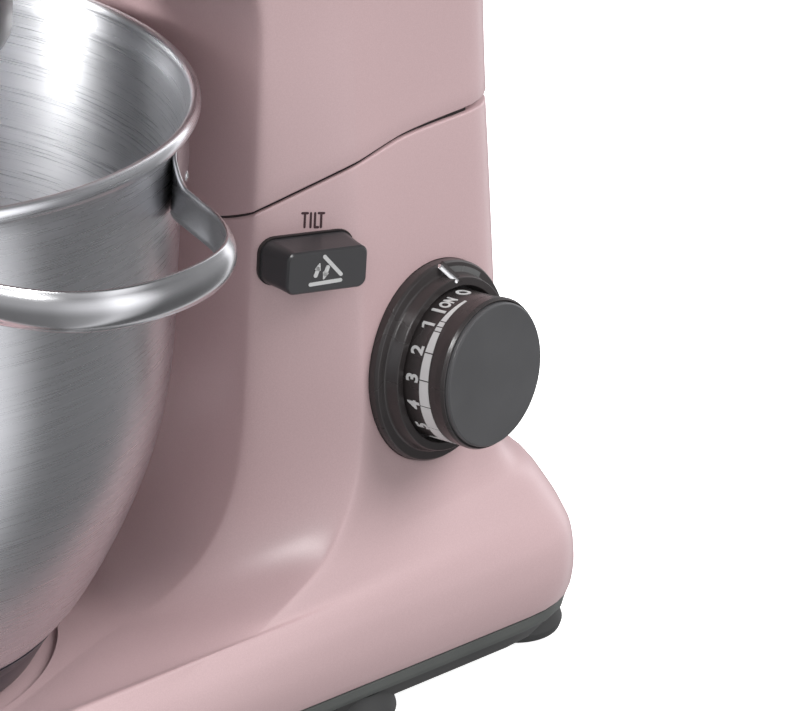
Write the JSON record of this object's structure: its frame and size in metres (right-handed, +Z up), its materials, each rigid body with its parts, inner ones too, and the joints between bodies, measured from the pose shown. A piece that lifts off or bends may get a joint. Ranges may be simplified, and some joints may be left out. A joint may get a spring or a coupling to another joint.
{
  "type": "stand mixer",
  "caption": "Tilt-head stand mixer with a steel bowl and side handle, planetary flat beater, tilt button and side speed dial on a flat base.",
  "frame": {"origin": "on the table, under the middle of the whole mixer's box", "axes": "+Z up, -Y towards the front of the mixer, where the bowl stands, +X towards the side with the speed dial and the bowl's handle"},
  "size_m": [0.2565, 0.3577, 0.34],
  "materials": {
    "body_paint": "satin dusty pink paint",
    "base_plastic": "fine matte black",
    "rubber_black": "matte rubber",
    "foot_plastic": "satin black",
    "hardware": "turned steel",
    "cast_metal": "rough cast",
    "control_plastic": "satin black",
    "dial_face": "satin dark grey",
    "hub_grey": "dark grey",
    "silver_trim": "polished",
    "print_grey": "light grey print",
    "circuit_board": "green laminate",
    "motor_core": "laminated steel and copper",
    "carbon": "carbon",
    "gear_nylon": "natural nylon",
    "beater_coat": "silver coating",
    "bowl_steel": "brushed in rings",
    "polished_steel": "polished"
  },
  "bodies": {
    "base": {"base_housing": "body_paint", "base_plate": "base_plastic", "feet": "rubber_black", "base_screws": "hardware", "column_frame": "cast_metal", "column_cap": "base_plastic", "bowl_lock_plate": "hardware", "dial_bezel": "control_plastic", "dial_pointer": "silver_trim", "speed_switch": "base_plastic", "control_board": "circuit_board", "button_sleeve": "base_plastic", "button_spring": "hardware", "latch_pin": "hardware", "hinge_pin": "hardware", "cable_gland": "rubber_black"},
    "head": {"head_housing": "body_paint", "head_cover": "body_paint", "head_frame": "cast_metal", "neck_plate": "base_plastic", "latch_catch": "hardware", "hub_ring": "hub_grey", "ring_gear": "cast_metal", "gear_case": "cast_metal", "gear_case_screws": "hardware", "motor_stator": "motor_core", "motor_brushes": "carbon", "motor_bearings": "hardware", "drive_bearings": "hardware"},
    "motor": {"motor_rotor": "motor_core", "motor_shaft": "hardware", "motor_fan": "base_plastic"},
    "planetary": {"planet_carrier": "hub_grey", "worm_wheel": "gear_nylon"},
    "beater": {"pinion": "hardware", "beater_shaft": "hardware", "beater_pin": "hardware", "flat_beater": "beater_coat"},
    "dial": {"speed_dial": "control_plastic", "dial_cap": "dial_face", "dial_scale": "print_grey", "dial_shaft": "hardware"},
    "button": {"tilt_button": "control_plastic", "button_icon": "print_grey", "button_stem": "hardware"},
    "latch": {"latch_lever": "hardware"},
    "bowl": {"bowl": "bowl_steel", "bowl_foot": "foot_plastic", "bowl_handle": "polished_steel", "handle_plates": "polished_steel"}
  },
  "joints": [
    {"name": "head_tilt", "type": "hinge", "parent": "base", "child": "head", "pos_m": [-0.018, 0.1375, 0.189], "axis": [-1, 0, 0], "range_deg": [0, 35]},
    {"name": "planetary_spin", "type": "hinge", "parent": "head", "child": "planetary", "pos_m": [-0.018, -0.0675, 0.24], "axis": [0, 0, 1], "continuous": true},
    {"name": "motor_spin", "type": "hinge", "parent": "head", "child": "motor", "pos_m": [0.01, -0.0075, 0.285], "axis": [0, 1, 0], "continuous": true},
    {"name": "beater_spin", "type": "hinge", "parent": "planetary", "child": "beater", "pos_m": [-0.018, -0.0935, 0.2], "axis": [0, 0, 1], "continuous": true},
    {"name": "dial_turn", "type": "hinge", "parent": "base", "child": "dial", "pos_m": [0.0646, 0.1071, 0.1088], "axis": [0.9881, 0.1126, 0.1045], "range_deg": [-175, 0]},
    {"name": "button_press", "type": "slide", "parent": "base", "child": "button", "axis": [-0.9511, 0.309, 0], "range_m": [0, 0.004], "stiffness_N_per_m": 400, "springref_m": -0.002, "deforming": ["button_spring"]},
    {"name": "latch_swing", "type": "hinge", "parent": "base", "child": "latch", "pos_m": [0.032, 0.0765, 0.155], "axis": [0, 0, 1], "range_deg": [-14, 0]},
    {"name": "bowl_twist", "type": "hinge", "parent": "base", "child": "bowl", "pos_m": [-0.018, -0.0675, 0.1], "axis": [0, 0, 1], "range_deg": [-25, 0]}
  ],
  "couplings": [
    {"joint": "beater_spin", "follows": "planetary_spin", "ratio": -3},
    {"joint": "motor_spin", "follows": "planetary_spin", "ratio": 22},
    {"joint": "latch_swing", "follows": "button_press", "rad_per_m": -52.36}
  ]
}
